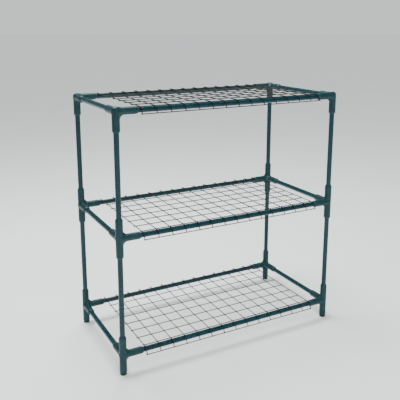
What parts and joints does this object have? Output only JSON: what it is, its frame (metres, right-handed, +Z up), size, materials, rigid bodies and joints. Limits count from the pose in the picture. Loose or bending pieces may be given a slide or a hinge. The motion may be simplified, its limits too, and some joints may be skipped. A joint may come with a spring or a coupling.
{
  "type": "wire shelving rack",
  "caption": "Free-standing tiered rack of push-fit tubes and moulded corner connectors, with open wire shelves that hook over the rails.",
  "frame": {"origin": "on the floor under the middle of the rack", "axes": "+X along the front to the right, +Y from the front to the back, +Z up"},
  "size_m": [0.7724, 0.4002, 0.7968],
  "materials": {
    "tube_coating": "glossy plastic-coated steel tube",
    "connector_plastic": "satin moulded plastic",
    "foot_plastic": "matt moulded plastic",
    "wire_coating": "plastic-coated steel wire"
  },
  "bodies": {
    "frame": {"foot_plug_front_left": "foot_plastic", "foot_plug_front_right": "foot_plastic", "foot_plug_rear_left": "foot_plastic", "foot_plug_rear_right": "foot_plastic", "connector_bottom_front_left": "connector_plastic", "connector_bottom_front_right": "connector_plastic", "connector_bottom_rear_left": "connector_plastic", "connector_bottom_rear_right": "connector_plastic", "connector_middle_front_left": "connector_plastic", "connector_middle_front_right": "connector_plastic", "connector_middle_rear_left": "connector_plastic", "connector_middle_rear_right": "connector_plastic", "connector_top_front_left": "connector_plastic", "connector_top_front_right": "connector_plastic", "connector_top_rear_left": "connector_plastic", "connector_top_rear_right": "connector_plastic", "upright_lower_front_left": "tube_coating", "upright_lower_front_right": "tube_coating", "upright_lower_rear_left": "tube_coating", "upright_lower_rear_right": "tube_coating", "upright_upper_front_left": "tube_coating", "upright_upper_front_right": "tube_coating", "upright_upper_rear_left": "tube_coating", "upright_upper_rear_right": "tube_coating", "rail_bottom_front": "tube_coating", "rail_bottom_rear": "tube_coating", "rail_bottom_left": "tube_coating", "rail_bottom_right": "tube_coating", "rail_middle_front": "tube_coating", "rail_middle_rear": "tube_coating", "rail_middle_left": "tube_coating", "rail_middle_right": "tube_coating", "rail_top_front": "tube_coating", "rail_top_rear": "tube_coating", "rail_top_left": "tube_coating", "rail_top_right": "tube_coating"},
    "top_shelf": {"shelf_top": "wire_coating"},
    "middle_shelf": {"shelf_middle": "wire_coating"},
    "bottom_shelf": {"shelf_bottom": "wire_coating"}
  },
  "joints": [
    {"name": "top_shelf_lift", "type": "slide", "parent": "frame", "child": "top_shelf", "axis": [0, 0, 1], "range_m": [0, 0.1]},
    {"name": "middle_shelf_lift", "type": "slide", "parent": "frame", "child": "middle_shelf", "axis": [0, 0, 1], "range_m": [0, 0.1]},
    {"name": "bottom_shelf_lift", "type": "slide", "parent": "frame", "child": "bottom_shelf", "axis": [0, 0, 1], "range_m": [0, 0.1]}
  ]
}
